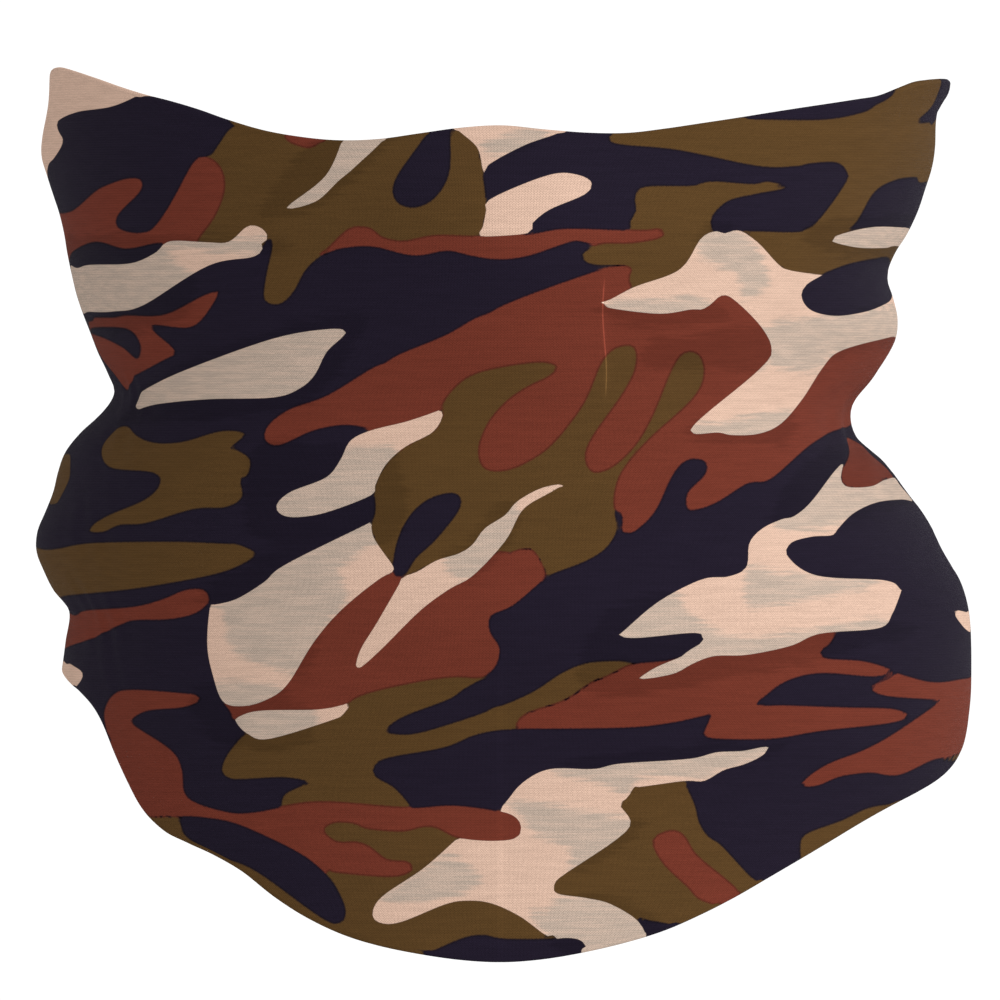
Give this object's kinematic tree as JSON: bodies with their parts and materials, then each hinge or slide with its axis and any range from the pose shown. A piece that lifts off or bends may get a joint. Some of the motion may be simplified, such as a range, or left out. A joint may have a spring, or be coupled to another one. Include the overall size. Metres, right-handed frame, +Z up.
{
  "type": "camouflage face mask",
  "caption": "Knitted camouflage tube worn over nose, cheeks and neck: two panels with overlocked side seams, turned hems and an inside care label.",
  "frame": {"origin": "on the axis of the wearer's neck, at the height of the crease under the jaw, where the mask is held up by the head", "axes": "+Z up, -Y towards the front of the face, +X towards the wearer's left, the right of someone facing them"},
  "size_m": [0.1927, 0.1996, 0.1829],
  "materials": {
    "printed_knit": "matt fine-gauge polyester knit printed in navy, olive brown and rust on a cream ground, pale on the reverse",
    "sewing_thread": "spun polyester thread, dark navy",
    "label_satin": "plain white woven satin tape, blank",
    "label_thread": "spun polyester thread, white"
  },
  "bodies": {
    "mask": {"front_panel": "printed_knit", "back_panel": "printed_knit", "left_seam_looper_thread": "sewing_thread", "left_seam_needle_thread": "sewing_thread", "right_seam_looper_thread": "sewing_thread", "right_seam_needle_thread": "sewing_thread", "front_top_hem_thread": "sewing_thread", "front_bottom_hem_thread": "sewing_thread", "back_top_hem_thread": "sewing_thread", "back_bottom_hem_thread": "sewing_thread", "care_label_thread": "label_thread"},
    "label": {"care_label": "label_satin"}
  },
  "joints": [
    {"name": "label_flap", "type": "hinge", "parent": "mask", "child": "label", "pos_m": [0, 0.07666, -0.021], "axis": [-1, 0, 0], "range_deg": [-8, 120]}
  ]
}
